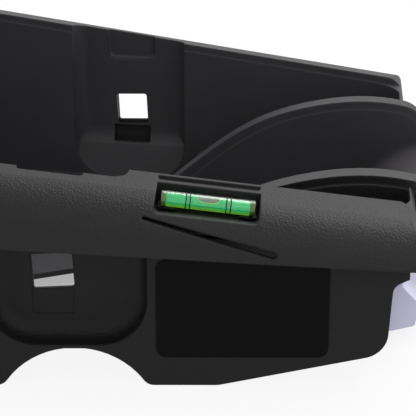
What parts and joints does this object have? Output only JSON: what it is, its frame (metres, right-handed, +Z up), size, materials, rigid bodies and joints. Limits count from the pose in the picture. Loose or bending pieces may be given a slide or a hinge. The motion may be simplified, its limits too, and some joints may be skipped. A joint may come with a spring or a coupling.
{
  "type": "infant car seat base",
  "caption": "Black moulded stay-in-car base for an infant carrier, with belt path, strap windows, curved rails, a green level vial in its rim and a hinged recline foot.",
  "frame": {"origin": "middle of the base's bounding box, on the surface it stands on", "axes": "+X towards the vehicle's seat back, +Z up, the vial is in the side rim at -Y"},
  "size_m": [0.46, 0.3666, 0.1357],
  "materials": {
    "shell_plastic": "fine grained moulding",
    "skirt_plastic": "fine grained moulding",
    "foot_plastic": "satin natural plastic",
    "pad_rubber": "matte",
    "pin_steel": "turned",
    "bar_steel": "drawn",
    "clip_steel": "stamped",
    "screw_steel": "plated",
    "plate_plastic": "smooth bare film",
    "vial_acrylic": "clear",
    "vial_fluid": "green liquid",
    "bubble_air": "clear",
    "ring_ink": "printed",
    "plug_plastic": "clear tinted",
    "cradle_plastic": "smooth"
  },
  "bodies": {
    "base": {"upper_shell": "shell_plastic", "lower_shell": "skirt_plastic", "left_foot_pin": "pin_steel", "right_foot_pin": "pin_steel", "front_latch_bar": "bar_steel", "rear_latch_bar": "bar_steel", "front_bar_clips": "clip_steel", "rear_bar_clips": "clip_steel", "shell_screws": "screw_steel", "base_pads": "pad_rubber", "left_plate": "plate_plastic", "right_plate": "plate_plastic", "level_vial": "vial_acrylic", "vial_liquid": "vial_fluid", "vial_rings": "ring_ink", "front_plug": "plug_plastic", "rear_plug": "plug_plastic", "vial_cradle": "cradle_plastic"},
    "foot": {"recline_foot": "foot_plastic", "foot_tread": "pad_rubber"},
    "bubble": {"level_bubble": "bubble_air"}
  },
  "joints": [
    {"name": "foot_hinge", "type": "hinge", "parent": "base", "child": "foot", "pos_m": [0.106, 0, 0.014], "axis": [0, 1, 0], "range_deg": [0, 24]},
    {"name": "bubble_slide", "type": "slide", "parent": "base", "child": "bubble", "axis": [0.9888, 0.0865, -0.1219], "range_m": [-0.0108, 0.0108]}
  ]
}
